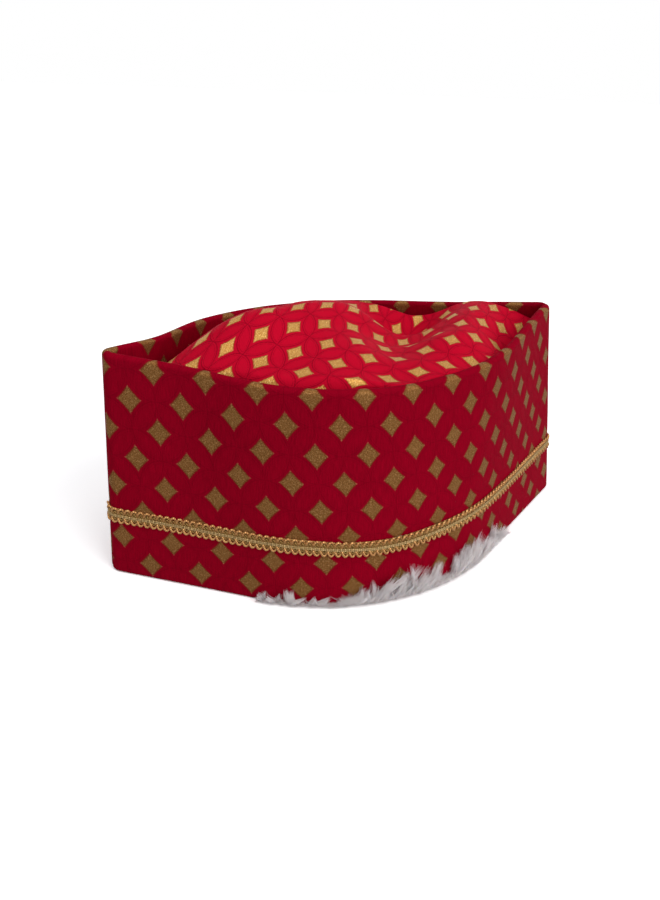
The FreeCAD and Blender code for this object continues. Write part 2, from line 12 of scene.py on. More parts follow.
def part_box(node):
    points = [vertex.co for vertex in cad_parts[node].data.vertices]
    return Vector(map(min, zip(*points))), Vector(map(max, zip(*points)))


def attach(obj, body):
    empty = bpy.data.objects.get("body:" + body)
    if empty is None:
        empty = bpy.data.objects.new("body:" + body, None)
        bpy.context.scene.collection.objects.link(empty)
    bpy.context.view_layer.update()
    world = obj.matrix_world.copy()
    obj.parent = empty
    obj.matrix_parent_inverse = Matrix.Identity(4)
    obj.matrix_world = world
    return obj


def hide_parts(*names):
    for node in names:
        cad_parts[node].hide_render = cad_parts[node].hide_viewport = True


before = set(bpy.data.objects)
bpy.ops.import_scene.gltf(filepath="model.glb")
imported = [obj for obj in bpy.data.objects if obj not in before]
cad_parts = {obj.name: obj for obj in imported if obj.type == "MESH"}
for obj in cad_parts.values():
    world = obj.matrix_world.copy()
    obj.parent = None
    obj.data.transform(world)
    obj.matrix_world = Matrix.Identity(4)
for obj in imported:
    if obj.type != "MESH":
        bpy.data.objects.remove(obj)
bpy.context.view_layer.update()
rng = np.random.default_rng(11)

MM = 0.001
sin, cos, tan, pi = math.sin, math.cos, math.tan, math.pi

# ---------------------------------------------------------------- sizes, as in the CAD source

HEM_LENGTH, HEM_WIDTH, TIP = 260.0, 138.6, 6.5
A, B = math.radians(37.5), math.radians(31.5)
WALL_LEAN, FRONT_LEAN, REAR_LEAN = (math.tan(math.radians(d)) for d in (3.85, 1.8, 11.0))
SEAM = 80.0
COVER, BOARD, LAYER_GAP = 0.9, 1.2, 0.1
WALL = 2 * (COVER + LAYER_GAP) + BOARD
LINING_INSET = WALL - COVER + LAYER_GAP
TAPE_INSET = WALL + 0.15
BACKING_INSET = WALL + 0.95
PILE_INSET = BACKING_INSET + 0.8
BRAID_Z = 32.0
RIM_LEVEL = 106.0  # about the rim's height, for finding what the rim is like over a place along the wall
SIDE_LENGTH = 290.0  # about the length of one side of the band, to turn a share of it into mm
SHAPED_HEIGHT = 108.0  # where the hand-made shape of the walls has its full size


def rim_height(x):
    """Height of the rim over x: one shallow arc through the front point, the low place and the rear point."""
    (x1, z1), (x2, z2), (x3, z3) = (-130.0, 111.0), (-27.0, 105.5), (130.0, 118.0)
    d = 2 * (x1 * (z2 - z3) + x2 * (z3 - z1) + x3 * (z1 - z2))
    q1, q2, q3 = x1 * x1 + z1 * z1, x2 * x2 + z2 * z2, x3 * x3 + z3 * z3
    cx = (q1 * (z2 - z3) + q2 * (z3 - z1) + q3 * (z1 - z2)) / d
    cz = (q1 * (x3 - x2) + q2 * (x1 - x3) + q3 * (x2 - x1)) / d
    radius = math.hypot(x1 - cx, z1 - cz)
    return cz - np.sqrt(radius**2 - (x - cx) ** 2)


def outline(z, inset, tip):
    """Tip centres, tip radius, side radius and side centre of the outline at height z; arrays allowed."""
    smaller = tip - (TIP - inset)
    centre = HEM_LENGTH / 2 - TIP
    front = -(centre - z * FRONT_LEAN - smaller / sin(A))
    rear = centre - z * REAR_LEAN - smaller / sin(B)
    length = HEM_LENGTH - z * (FRONT_LEAN + REAR_LEAN)
    half = HEM_WIDTH / 2 - z * WALL_LEAN
    sharp = length + TIP * (1 / sin(A) + 1 / sin(B) - 2)
    wide = (sharp - half * (1 / tan(A) + 1 / tan(B))) / (tan(A / 2) + tan(B / 2)) - inset
    gap = wide - tip
    x0, y0 = front + gap * sin(A), -gap * cos(A)
    x1, y1 = rear - gap * sin(B), -gap * cos(B)
    cross = cos(A) * sin(B) + sin(A) * cos(B)
    run = ((x1 - x0) * sin(B) + (y1 - y0) * cos(B)) / cross
    return front, rear, tip, wide, x0 + run * cos(A), y0 + run * sin(A)


def share_of_side(q):
    """The share of its side's length at q, counted from the front point on both sides."""
    return np.where(q < 1, q, 2 - q)


def hand_shape(q, z):
    """How far the hand-made wall stands out from the drawn outline.

    Both sides are hollow beside the front point and drawn in at the rear point; the left one is full behind
    its middle."""
    q = np.mod(q, 2.0)
    share = share_of_side(q)
    hollow = -2.6 * np.exp(-(((share - 0.13) / 0.08) ** 2))
    full = np.where(q < 1, 4.2, 0.0) * np.exp(-(((share - 0.74) / 0.12) ** 2))
    return z / SHAPED_HEIGHT * (hollow + full - 1.0 * smooth(0.86, 1.0, share))


def smooth(low, high, x):
    s = np.clip((x - low) / (high - low), 0, 1)
    return s * s * (3 - 2 * s)


def wall_point(q, z, inset=0.0, tip=None):
    """A point of the wall and its level outward normal, in mm.

    q runs from 0 at the front point along the left side to 1 at the rear point, and back along the right
    side to 2. Arrays of one shape go in, and arrays with a last axis of three come out."""
    q, z, inset = np.broadcast_arrays(*(np.asarray(v, float) for v in (q, z, inset)))
    q = np.mod(q, 2.0)
    share = share_of_side(q)
    side = np.where(q < 1, -1.0, 1.0)
    t = TIP - inset if tip is None else np.asarray(tip, float) + 0 * z
    front, rear, t, w, cx, cy = outline(z, inset, t)
    fx, fy = front - t * sin(A), t * cos(A)
    gx, gy = rear + t * sin(B), t * cos(B)
    run_1 = np.hypot(cx - w * sin(A) - fx, cy + w * cos(A) - fy)
    run_2 = np.hypot(cx + w * sin(B) - gx, cy + w * cos(B) - gy)
    ends = np.cumsum([t * (pi / 2 - A), run_1, w * (A + B), run_2, t * (pi / 2 - B)], axis=0)
    d = share * ends[4]
    p1 = d / np.maximum(t, 1e-6)
    h = A - (d - ends[1]) / w
    p5 = B + (d - ends[3]) / np.maximum(t, 1e-6)
    e1, e3 = d - ends[0], ends[3] - d
    where = [d < ends[0], d < ends[1], d < ends[2], d < ends[3]]
    x = np.select(where, [front - t * np.cos(p1), fx + e1 * cos(A), cx - w * np.sin(h), gx - e3 * cos(B)],
                  rear + t * np.sin(p5))
    y = np.select(where, [t * np.sin(p1), fy + e1 * sin(A), cy + w * np.cos(h), gy + e3 * sin(B)],
                  t * np.cos(p5))
    nx = np.select(where, [-np.cos(p1), -sin(A) + 0 * d, -np.sin(h), sin(B) + 0 * d], np.sin(p5))
    ny = np.select(where, [np.sin(p1), cos(A) + 0 * d, np.cos(h), cos(B) + 0 * d], np.cos(p5))
    point = np.stack([x, y * side, z], -1)
    normal = np.stack([nx, ny * side, 0 * z], -1)
    return point + normal * hand_shape(q, z)[..., None], normal


def bumps(points, scale, seed=0.0):
    """Smooth noise of about -1 to 1 at points given in mm."""
    flat = points.reshape(-1, 3) / scale
    found = [noise.noise(Vector((x + seed, y - seed, z + 2 * seed))) for x, y, z in flat.tolist()]
    return np.array(found).reshape(points.shape[:-1])


# ---------------------------------------------------------------- meshes


def mesh_object(name, points, faces, slot, replaces=(), **vectors):
    """A smooth-shaded piece on the cap from points in mm, with vector attributes on its points."""
    mesh = bpy.data.meshes.new(name)
    mesh.from_pydata((np.asarray(points).reshape(-1, 3) * MM).tolist(), [], np.asarray(faces).tolist())
    for label, values in vectors.items():
        attribute = mesh.attributes.new(label, "FLOAT_VECTOR", "POINT")
        attribute.data.foreach_set("vector", np.asarray(values, np.float32).ravel())
    mesh.shade_smooth()
    mesh.update()
    made = bpy.data.objects.new(name + "_soft", mesh)
    bpy.context.scene.collection.objects.link(made)
    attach(made, "root")
    if replaces:
        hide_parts(*replaces)
    mesh.materials.append(materials[slot])
    return made


def grid_faces(rows, columns, wrap_rows=False, wrap_columns=False, flip=False):
    """Quads between neighbouring points of a grid that is numbered row by row."""
    i = np.arange(rows if wrap_rows else rows - 1)[:, None]
    j = np.arange(columns if wrap_columns else columns - 1)[None, :]
    i2, j2 = (i + 1) % rows, (j + 1) % columns
    corners = (i * columns + j, i * columns + j2, i2 * columns + j2, i2 * columns + j)
    quads = np.stack(np.broadcast_arrays(*corners), -1).reshape(-1, 4)
    return quads[:, ::-1] if flip else quads


def thicken(made, thickness, offset=-1.0):
    """Gives a sheet its thickness in mm, against its faces' normals, or along them if offset is 1."""
    solid = made.modifiers.new("thickness", "SOLIDIFY")
    solid.thickness = thickness * MM
    solid.offset = offset
    solid.use_rim = True
    return made


def tube_grid(path, normal, radius, sides, closed=False):
    """Points round a path, row by row. radius may vary along the path and round it."""
    path, normal = np.asarray(path, float), np.asarray(normal, float)
    if closed:
        tangent = np.roll(path, -1, 0) - np.roll(path, 1, 0)
    else:
        tangent = np.gradient(path, axis=0)
    tangent /= np.linalg.norm(tangent, axis=1, keepdims=True) + 1e-12
    across = np.cross(tangent, normal)
    across /= np.linalg.norm(across, axis=1, keepdims=True) + 1e-12
    up = np.cross(across, tangent)
    angle = np.linspace(0, 2 * pi, sides, endpoint=False)[None, :, None]
    ring = np.cos(angle) * across[:, None, :] + np.sin(angle) * up[:, None, :]
    radius = np.broadcast_to(np.asarray(radius, float), (len(path), sides))
    return path[:, None, :] + ring * radius[..., None]


# ---------------------------------------------------------------- node materials


class Node:
    """A value in a node tree. Arithmetic on it adds math nodes."""

    def __init__(self, tree, socket):
        self.tree, self.socket = tree, socket

    def math(self, operation, *others):
        node = self.tree.nodes.new("ShaderNodeMath")
        node.operation = operation
        for slot, value in zip(node.inputs, (self, *others)):
            plug(self.tree, slot, value)
        return Node(self.tree, node.outputs[0])

    def __add__(self, other):
        return self.math("ADD", other)

    def __sub__(self, other):
        return self.math("SUBTRACT", other)

    def __mul__(self, other):
        return self.math("MULTIPLY", other)

    def __rsub__(self, other):
        return (self * -1.0) + other

    __radd__, __rmul__ = __add__, __mul__

    def cell(self):
        """Distance along this axis to the nearest whole number, with its sign."""
        return self - self.math("ROUND")

    def clamped(self):
        return self.math("MAXIMUM", 0.0).math("MINIMUM", 1.0)

    def step(self, low, high):
        """0 below low and 1 above high, or the other way round if low is the higher."""
        node = self.tree.nodes.new("ShaderNodeMapRange")
        node.interpolation_type = "SMOOTHSTEP"
        ends = (min(low, high), max(low, high), float(low > high), float(low < high))
        for slot, value in zip(node.inputs, (self, *ends)):
            plug(self.tree, slot, value)
        return Node(self.tree, node.outputs[0])


def plug(tree, slot, value):
    if isinstance(value, Node):
        tree.links.new(value.socket, slot)
    else:
        slot.default_value = value


class Material:
    """A Principled material with short calls for the nodes that the cap needs."""

    def __init__(self, name, **constants):
        self.made = bpy.data.materials.new(name)
        self.made.use_nodes = True
        self.tree = self.made.node_tree
        self.shader = next(n for n in self.tree.nodes if n.type == "BSDF_PRINCIPLED")
        for label, value in constants.items():
            self.shader.inputs[label.replace("_", " ")].default_value = value

    def node(self, kind, output=0, settings=(), **inputs):
        made = self.tree.nodes.new("ShaderNode" + kind)
        for label, value in dict(settings).items():
            setattr(made, label, value)
        for label, value in inputs.items():
            plug(self.tree, made.inputs[label.replace("_", " ")], value)
        return Node(self.tree, made.outputs[output])

    def vector(self, attribute):
        return self.node("Attribute", output=1, settings={"attribute_name": attribute})

    def parts(self, vector):
        made = self.tree.nodes.new("ShaderNodeSeparateXYZ")
        plug(self.tree, made.inputs[0], vector)
        return [Node(self.tree, out) for out in made.outputs]

    def scaled(self, vector, x, y):
        made = self.tree.nodes.new("ShaderNodeVectorMath")
        made.operation = "MULTIPLY"
        plug(self.tree, made.inputs[0], vector)
        plug(self.tree, made.inputs[1], (x, y, 1.0))
        return Node(self.tree, made.outputs[0])

    def noise(self, vector, scale, detail=2.0, roughness=0.5):
        """Smooth noise of 0 to 1, about 0.5 on the average."""
        return self.node("TexNoise", Vector=vector, Scale=scale, Detail=detail, Roughness=roughness)

    def mix(self, share, first, second, blend="MIX"):
        made = self.tree.nodes.new("ShaderNodeMix")
        made.data_type, made.blend_type = "RGBA", blend
        plug(self.tree, made.inputs[0], share)
        for slot, value in ((made.inputs[6], first), (made.inputs[7], second)):
            plug(self.tree, slot, value)
        return Node(self.tree, made.outputs[2])

    def shade(self, colour, amount):
        """The colour times a grey value."""
        grey = self.node("CombineXYZ", X=amount, Y=amount, Z=amount)
        return self.mix(1.0, colour, grey, "MULTIPLY")

    def finish(self, colour, roughness=None, height=None, distance=0.1, strength=0.6, metallic=None):
        plug(self.tree, self.shader.inputs["Base Color"], colour)
        if roughness is not None:
            plug(self.tree, self.shader.inputs["Roughness"], roughness)
        if metallic is not None:
            plug(self.tree, self.shader.inputs["Metallic"], metallic)
        if height is not None:
            bump = self.tree.nodes.new("ShaderNodeBump")
            bump.inputs["Distance"].default_value = distance * MM
            bump.inputs["Strength"].default_value = strength
            plug(self.tree, bump.inputs["Height"], height)
            plug(self.tree, self.shader.inputs["Normal"], Node(self.tree, bump.outputs[0]))
        return self.made


def rgb(red, green, blue):
    """An sRGB colour of 0 to 255 as linear values with alpha."""
    parts = [v / 255 for v in (red, green, blue)]
    return (*[v / 12.92 if v <= 0.04045 else ((v + 0.055) / 1.055) ** 2.4 for v in parts], 1.0)


def brocade(name, lozenge, streaks, red, deep, line, petals, golds, metallic, **constants):
    """Red satin brocade with gold lozenges and tone-on-tone petals.

    Attribute "lattice" counts the lozenges along both diagonals of the pattern; "cloth" is the place on
    the cloth in mm. lozenge is half a lozenge's side as a share of the spacing; golds are the dark and light
    gold and the colour of the painted glints on it."""
    m = Material(name, **constants)
    a, b, _ = m.parts(m.vector("lattice"))
    cloth = m.vector("cloth")
    along, up, _ = m.parts(cloth)
    # ragged by about a thread, because the figure is woven
    ragged = (m.noise(m.scaled(cloth, 1.3, 2.6), 1.0, 2.0, 0.6) - 0.5) * 0.085
    da, db = a.cell().math("ABSOLUTE"), b.cell().math("ABSOLUTE")
    # lozenge: each side bows inwards a little
    middle, bow = 0.93 * lozenge, 0.07 / lozenge
    outside = (da - (middle + bow * db * db)).math("MAXIMUM", db - (middle + bow * da * da)) + ragged
    gold = outside.step(0.018, -0.018)
    edge = outside.math("ABSOLUTE").step(0.034, 0.012)
    # petals: each circle runs through the four places where four circles meet
    ring_a = ((1.0 - da) * (1.0 - da) + db * db).math("SQRT") - math.sqrt(0.5)
    ring_b = ((1.0 - db) * (1.0 - db) + da * da).math("SQRT") - math.sqrt(0.5)
    petal_depth = ring_a.math("MINIMUM", ring_b) + ragged * 0.5
    petal = petal_depth.step(0.012, -0.012)
    outline_1 = petal_depth.math("ABSOLUTE").step(0.021, 0.007)
    outline_2 = (petal_depth + 0.058).math("ABSOLUTE").step(0.018, 0.006)
    stipple = m.noise(cloth, 2.2, 1.0).step(0.38, 0.52)
    outlines = (outline_1 * (0.55 + stipple * 0.45) + outline_2 * stipple * 0.6).math("MINIMUM", 1.0)
    # threads
    warp = m.noise(m.scaled(cloth, 2.1, 0.16), 1.0, 3.0, 0.7)
    grain = m.noise(cloth, 3.2, 2.0, 0.6)
    patches = m.noise(cloth, 0.045, 2.0)
    ribs = (up * (2 * pi / 0.62)).math("SINE")
    twill = ((along + up) * (2 * pi / 0.8)).math("SINE")
    light = 1.0 + (warp - 0.5) * streaks + (grain - 0.5) * 0.34 + (patches - 0.5) * 0.18
    light = light + petal * petals
    base = m.mix(outlines * line, red, deep)
    base = m.shade(base, light)
    # gold: flat metal strips over a brown ground, with painted glints in its colour: bright specks, and the
    # gold made brighter and darker in flecks
    strip = m.noise(m.scaled(cloth, 1.5, 4.2), 1.0, 2.0, 0.7)
    painted_sparkle = m.noise(m.scaled(cloth, 2.7, 3.6), 1.0, 1.0, 0.5)
    metal = m.mix(strip.step(0.32, 0.72), golds[0], golds[1])
    metal = m.mix(painted_sparkle.step(0.62, 0.74), metal, golds[2])
    # painted glint: coarser bright flecks, which also brighten and darken the gold a little
    painted_glint = m.noise(cloth, 1.25, 1.0, 0.6)
    metal = m.mix(painted_glint.step(0.56, 0.70) * 0.3, metal, golds[2])
    metal = m.shade(metal, 0.86 + painted_glint * 0.28)
    tips = (da + db).step(lozenge * 1.68, lozenge * 1.98)
    metal = m.mix(tips * 0.6, metal, rgb(196, 100, 84))
    body = m.mix(gold, base, metal)
    body = m.mix(edge * (1.0 - tips) * 0.4, body, rgb(96, 30, 14))
    gloss = 0.52 - gold * 0.12 + (grain - 0.5) * 0.2
    height = ribs * 0.10 + warp * 0.8 * (1.0 - gold) + gold * (0.6 + strip * 1.1) - outlines * 0.9
    height = height + petal * twill * 0.12 + grain * 0.5
    return m.finish(body, gloss, height, distance=0.16, strength=0.55, metallic=gold * metallic)


def woven(name, light, dark, pitch, rough=0.8, sheen=0.1, relief=0.12):
    """Plain-woven cloth over attribute "cloth"; pitch is from thread to thread in mm."""
    m = Material(name, Sheen_Weight=sheen, Sheen_Roughness=0.5, Specular_IOR_Level=0.25)
    cloth = m.vector("cloth")
    x, y, _ = m.parts(cloth)
    wobble = (m.noise(cloth, 0.35 / pitch, 2.0) - 0.5) * 0.6
    warp = ((x * (1.0 / pitch) + wobble) * pi).math("SINE").math("ABSOLUTE")
    weft = ((y * (1.0 / pitch) + wobble) * pi).math("SINE").math("ABSOLUTE")
    squares = (x * (0.5 / pitch)).math("FLOOR") + (y * (0.5 / pitch)).math("FLOOR")
    over = (squares * 0.5).cell().math("ABSOLUTE") * 2.0
    thread = warp * over + weft * (1.0 - over)
    slub = m.noise(m.scaled(cloth, 0.25 / pitch, 1.6 / pitch), 1.0, 3.0, 0.6)
    stain = m.noise(cloth, 0.03, 3.0)
    share = thread * 0.75 + (slub - 0.5) * 0.5 + (stain - 0.5) * 0.3
    colour = m.mix(share.clamped(), dark, light)
    return m.finish(colour, rough - thread * 0.1, thread + slub * 0.7, distance=relief, strength=0.7)


def gold_thread(name, light, dark, twist):
    """Metal thread wound on a core. Attribute "cloth" is mm along the thread, and the turn round it."""
    m = Material(name, Specular_IOR_Level=0.5)
    cloth = m.vector("cloth")
    x, y, _ = m.parts(cloth)
    wound = ((x * (1.0 / twist) + y) * pi).math("SINE").math("ABSOLUTE")
    uneven = m.noise(cloth, 1.3, 3.0, 0.7)
    painted_sparkle = m.noise(cloth, 3.4, 1.0)
    share = wound * 0.75 + (uneven - 0.5) * 0.9
    colour = m.mix(share.clamped(), dark, light)
    # painted glints: bright specks put into the thread's colour
    colour = m.mix(painted_sparkle.step(0.60, 0.74), colour, rgb(255, 222, 150))
    height = wound + uneven * 0.6
    return m.finish(colour, 0.46 - wound * 0.12, height, distance=0.12, strength=0.8, metallic=0.62)


def fur(name, white, grey):
    """Pile: attribute "cloth" is a share along the strand, and a number of its own for each strand."""
    m = Material(name, Sheen_Weight=0.35, Sheen_Roughness=0.4, Specular_IOR_Level=0.3, Subsurface_Weight=0.15,
                 Subsurface_Scale=0.002)
    place, own, _ = m.parts(m.vector("cloth"))
    streak = m.noise(m.vector("cloth"), 9.0, 2.0)
    share = place * 0.55 + own * 0.45 + (streak - 0.5) * 0.4
    colour = m.mix(share.clamped(), grey, white)
    return m.finish(colour, 0.62 - own * 0.1, streak, distance=0.05, strength=0.3)


materials = {
    # the band's brocade: the crown's cloth, with reds and golds painted darker as shade on the walls; its
    # third gold is the painted glint colour
    "brocade": brocade("brocade", 0.226, 1.0, rgb(140, 2, 28), rgb(92, 0, 16), 0.16, 0.04,
                       (rgb(88, 56, 24), rgb(158, 110, 62), rgb(208, 162, 108)), 0.3,
                       Specular_IOR_Level=0.005),
    "buckram": woven("buckram", rgb(226, 217, 194), rgb(178, 166, 138), 1.1, rough=0.9, relief=0.15),
    "cotton_lining": woven("cotton_lining", rgb(150, 22, 34), rgb(92, 8, 18), 0.45),
    "interlining": woven("interlining", rgb(232, 228, 218), rgb(186, 180, 166), 0.9, relief=0.2),
    "satin_lining": woven("satin_lining", rgb(168, 18, 36), rgb(112, 6, 20), 0.3, rough=0.42, sheen=0.3,
                          relief=0.05),
    "seam_tape": woven("seam_tape", rgb(128, 14, 26), rgb(74, 4, 12), 0.6),
    "plush_backing": woven("plush_backing", rgb(232, 226, 214), rgb(190, 182, 168), 0.8),
    "plush_pile": fur("plush_pile", rgb(255, 252, 251), rgb(240, 222, 221)),
    "gold_braid": gold_thread("gold_braid", rgb(188, 144, 76), rgb(92, 62, 24), 0.75),
    "gold_cord": gold_thread("gold_cord", rgb(212, 182, 128), rgb(120, 88, 44), 0.9),
    "gold_loops": gold_thread("gold_loops", rgb(224, 166, 102), rgb(128, 80, 38), 0.8),
    "thread": woven("thread", rgb(176, 26, 40), rgb(110, 8, 20), 0.25),
}
# the crown's brocade: the band's cloth, with lighter reds and brighter golds painted as light on the crown's
# top; its third gold is the painted glint colour
crown_brocade_lit = brocade("brocade_crown_lit", 0.21, 0.3, rgb(190, 8, 40), rgb(104, 0, 18), 0.62, 0.05,
                        (rgb(150, 98, 42), rgb(226, 172, 92), rgb(255, 226, 150)), 0.5,
                        Specular_IOR_Level=0.012)

# ---------------------------------------------------------------- band covers
# Each cover is one piece of brocade: up inside the hem's turning, round the hem, up the outside, over the
# rim and down inside to the crown seam.

HALF_SPACING = 11.73  # half the distance between two lozenges of one row of the brocade
ARC = 24.55 * HALF_SPACING  # length of one side at mid height; the pattern keeps its count at every height
COVER_LENGTH = 300.0  # about the length of one cover along its folds
TURNED_UP = 13.0  # how far the hem's turning reaches up inside


def lattice_of_band(share, height, near):
    """Places in the woven pattern, counted along both diagonals.

    They follow from the share of the side's length and the mm up it. The hand-cut panels do not match: the
    far one starts a little further on and lower down."""
    up = height / 10
    row = 7.462 - 0.708 * up - 0.097 * share * up
    row = row + share * (1.42 + share * (-5.158 + share * (10.076 - 4.529 * share)))
    if near:
        column = -1.823 + 23.551 * share + 2.231 * share**2 + up * (0.078 - 0.069 * share)
    else:
        column = -1.35 + 25.9 * share + (up - 11) * (0.078 - 0.069 * share)
        row = row + 0.43
    return np.stack([(column + row - 1) / 2, (column - row + 1) / 2, 0 * share], -1)


def fold(from_inset, to_inset, rise, count, squareness=2.5):
    """Insets of a rounded fold between two faces, and how far it rises there, both ends included."""
    angle = np.linspace(0, pi, count)
    middle, reach = (from_inset + to_inset) / 2, (from_inset - to_inset) / 2
    round_x = np.sign(np.cos(angle)) * np.abs(np.cos(angle)) ** (2 / squareness)
    round_z = np.sin(angle) ** (2 / squareness)
    return middle + reach * round_x, rise * round_z


def band_cover(name, side):
    seam_run = 20  # mm beside each seam where the points lie closer
    edge = np.concatenate([np.arange(0, 8, 0.4), np.arange(8, seam_run, 0.9)]) / COVER_LENGTH
    between = np.linspace(seam_run / COVER_LENGTH, 1 - seam_run / COVER_LENGTH, 190)
    shares = np.concatenate([edge, between, 1 - edge[::-1]])
    q = shares if side < 0 else 2 - shares
    near_top, _ = wall_point(q, RIM_LEVEL)
    rim = rim_height(near_top[:, 0]) - 0.1 + 0.35 * bumps(near_top * (1, 1, 0), 34.0, 3.0)
    drop, turn = 1.7, 1.5
    top = rim - drop
    inner = WALL - 0.05
    # rows of inset and height, from the edge of the hem's turning to the crown seam
    rows = [(inner, z) for z in np.linspace(TURNED_UP, turn, 7)[:-1]]
    rows += [(inset, turn - rise) for inset, rise in zip(*fold(inner, 0.0, turn - 0.05, 11))]
    outer_start = len(rows) - 1
    rows += [(0.0, turn + (top - turn) * k) for k in np.linspace(0, 1, 72)[1:-1]]
    rows += [(inset, top + rise) for inset, rise in zip(*fold(0.0, WALL, drop, 15, 2.3))]
    rows += [(inner, top + (SEAM + 0.2 - top) * k) for k in np.linspace(0, 1, 18)[1:]]
    inset = np.array([row[0] + 0 * shares for row in rows])
    z = np.array([row[1] + 0 * shares for row in rows])
    q = np.broadcast_to(q, z.shape)
    point, normal = wall_point(q, z, inset)
    # the seam at each point draws the cloth in a little
    run = np.minimum(shares, 1 - shares)[None, :] * COVER_LENGTH
    pull = 0.55 * np.exp(-((run / 0.9) ** 2))
    # the wall is hand-made: slack patches between the stiff places
    swell = 0.42 * bumps(point, 46.0, 1.0) + 0.16 * bumps(point, 15.0, 5.0) + 0.05 * bumps(point, 4.0, 9.0)
    swell *= smooth(0, 14, z) * smooth(0, 9, run)
    # sewn down under the braid
    swell -= 0.35 * np.exp(-(((z - BRAID_Z) / 5.0) ** 2)) * (inset < 1)
    outer = inset < WALL / 2
    point = point + normal * np.where(outer, swell - pull, 0.4 * swell)[..., None]
    steps = np.linalg.norm(np.diff(point, axis=0), axis=-1)
    path = np.concatenate([np.zeros((1, len(shares))), np.cumsum(steps, 0)])
    height = path - path[outer_start] + turn
    share = np.broadcast_to(shares, z.shape)
    made = mesh_object(
        name, point, grid_faces(*z.shape, flip=side < 0), "brocade", [name],
        lattice=lattice_of_band(share, height, side < 0), cloth=np.stack([share * ARC, height, 0 * z], -1),
    )
    thicken(made, 0.5)  # outwards, because the faces are turned inwards


band_cover("band_cover_left", -1)
band_cover("band_cover_right", 1)

# ---------------------------------------------------------------- crown

HUMPS = (  # x, y, rise, spread along X, spread along Y
    (-81.0, 8.0, 30.0, 44.0, 26.0),
    (31.0, 1.0, 36.0, 57.0, 35.0),
    (15.0, -8.0, -26.0, 31.0, 16.0),
    (32.0, 17.0, -36.0, 30.0, 21.0),
    (51.0, -36.0, 7.0, 21.0, 30.0),
    (-104.0, 37.0, -52.0, 43.0, 48.0),
    (2.0, -27.0, -8.0, 15.0, 13.0),
    (76.0, -32.0, -26.0, 47.0, 38.0),
    (-10.0, -52.0, -3.0, 15.0, 13.0),
)
CROWN_RISE = 27.0  # from the crown seam to the crown's level without humps
SHOULDER, LEFT_SHOULDER, REAR_SHOULDER = 9.5, 3.2, 6.0

seam_share = np.linspace(0, 1, 1201)
seam_left, seam_normal = wall_point(seam_share, SEAM)
seam_right, _ = wall_point(2 - seam_share, SEAM)


def seam_half(x, y):
    """Half the width of the band's outer face at the height of the crown seam, on the side that y is on."""
    left = np.interp(x, seam_left[:, 0], -seam_left[:, 1])
    right = np.interp(x, seam_right[:, 0], seam_right[:, 1])
    return np.where(y < 0, left, right)


def wall_distance(x, y):
    """How far inside the band's outer face a place in plan is, and which way is outwards there."""
    x, y = np.broadcast_arrays(x, y)
    share = np.interp(x, seam_left[:, 0], seam_share)
    normal = np.stack([np.interp(share, seam_share, seam_normal[:, k]) for k in (0, 1)], -1)
    normal[..., 1] = np.where(y < 0, normal[..., 1], -normal[..., 1])
    length = np.linalg.norm(normal, axis=-1)
    return (seam_half(x, y) - np.abs(y)) * np.abs(normal[..., 1]) / length, normal / length[..., None]


def crown_height(x, y):
    """Height of the crown's upper face, and how much lower it is than without its shoulder, in mm."""
    inside = wall_distance(x, y)[0] - WALL
    rise = CROWN_RISE + 0 * x
    for px, py, lift, sx, sy in HUMPS:
        rise = rise + lift * np.exp(-(((x - px) / sx) ** 2) - ((y - py) / sy) ** 2)
    left = smooth(4, -14, y) * smooth(-42, -8, x)
    rear = smooth(60, 96, x) * (1 - left)
    shoulder = SHOULDER - left * (SHOULDER - LEFT_SHOULDER) - rear * (SHOULDER - REAR_SHOULDER)
    slope = np.sin(np.clip(inside / shoulder, 0, 1) * pi / 2)
    return SEAM + rise * slope, rise * (1 - slope)


def crown_grid(columns=246, rows=150):
    """A grid over the inside of the band at the seam, closer near the wall."""
    low, high = seam_left[0, 0] + WALL + 0.9, seam_left[-1, 0] - WALL - 0.9
    x = np.linspace(low, high, columns)[None, :]
    flat = np.abs(wall_distance(x, -1.0)[1][..., 1])
    across = np.linspace(-1, 1, rows)[:, None]
    across = np.sin(across * pi / 2) * 0.55 + across * 0.45
    half = seam_half(x, across) - (WALL + 0.5) / np.maximum(flat, 0.3)
    return np.broadcast_to(x, (rows, columns)), across * np.maximum(half, 0.05)


crown_x, crown_y = crown_grid()
crown_z, crown_drop = crown_height(crown_x, crown_y)
plan = np.stack([crown_x, crown_y, 0 * crown_x], -1)
crown_inside, crown_outward = wall_distance(crown_x, crown_y)
mid = smooth(1, 9, crown_inside - WALL)
# slack cloth over a soft layer: long soft folds, then small ones
crown_z = crown_z + mid * (
    1.1 * bumps(plan, 30.0, 2.0) + 0.5 * bumps(plan * (1.0, 0.6, 1), 12.0, 4.0) + 0.14 * bumps(plan, 4.5, 6.0)
)
crown_points = np.stack([crown_x, crown_y, crown_z], -1)


def lattice_of_crown(x, y, outward, drop):
    """The crown is cut with its pattern turned by an eighth, so its rows run along the cap.

    On the shoulder the cloth runs on downwards, so its place in plan is rolled out by how far it drops."""
    X, Y = (x + outward[..., 0] * drop) / 100, (y + outward[..., 1] * drop) / 100
    bend = np.minimum(Y, 0.1)
    a = 4.6 + 6.97 * X - 3.37 * Y + 1.55 * X * Y + 0.28 * X * X - 5.31 * bend**2
    b = -0.42 + 0.91 * X - 7.18 * Y + 0.29 * X * Y + 0.29 * X * X - 0.61 * bend**2
    return np.stack([a, b, 0 * x], -1)


def crown_layer(name, slot, depth, thickness, rests_on, **vectors):
    """A layer of the crown, depth mm under its upper face."""
    shrink = 1 - 0.004 * depth
    points = (crown_points - np.array([0, 0, 1.0]) * depth) * (shrink, shrink, 1)
    made = mesh_object(name, points, grid_faces(*crown_x.shape), slot, [name], cloth=crown_points * (1, 1, 0),
                       **vectors)
    thicken(made, thickness)
    return made


